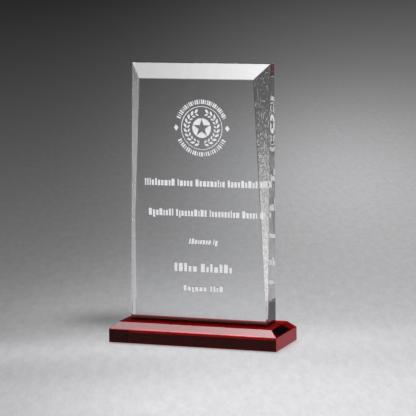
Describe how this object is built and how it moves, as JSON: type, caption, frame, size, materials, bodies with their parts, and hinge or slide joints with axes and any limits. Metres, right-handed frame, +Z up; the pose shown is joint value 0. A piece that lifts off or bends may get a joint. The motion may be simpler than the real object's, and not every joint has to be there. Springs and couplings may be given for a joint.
{
  "type": "crystal award",
  "caption": "Upright clear crystal slab with mitred bevels and a sandblasted emblem, bonded to a chamfered ruby-red block on clear bumper feet.",
  "frame": {"origin": "on the surface the award stands on, under the middle of the base block", "axes": "+Z up; the engraved slab faces -Y, and +X is on the right of someone reading it"},
  "size_m": [0.1524, 0.057, 0.2416],
  "materials": {
    "clear_crystal": "optically polished, with sandblasted artwork on the back face",
    "ruby_glass": "polished transparent red, dark where it is deep",
    "cured_adhesive": "clear cured film",
    "clear_bumper": "clear soft polyurethane, slightly cloudy"
  },
  "bodies": {
    "root": {"crystal_panel": "clear_crystal", "bond_film": "cured_adhesive", "base_block": "ruby_glass", "foot_front_left": "clear_bumper", "foot_front_right": "clear_bumper", "foot_back_left": "clear_bumper", "foot_back_right": "clear_bumper"}
  },
  "joints": []
}
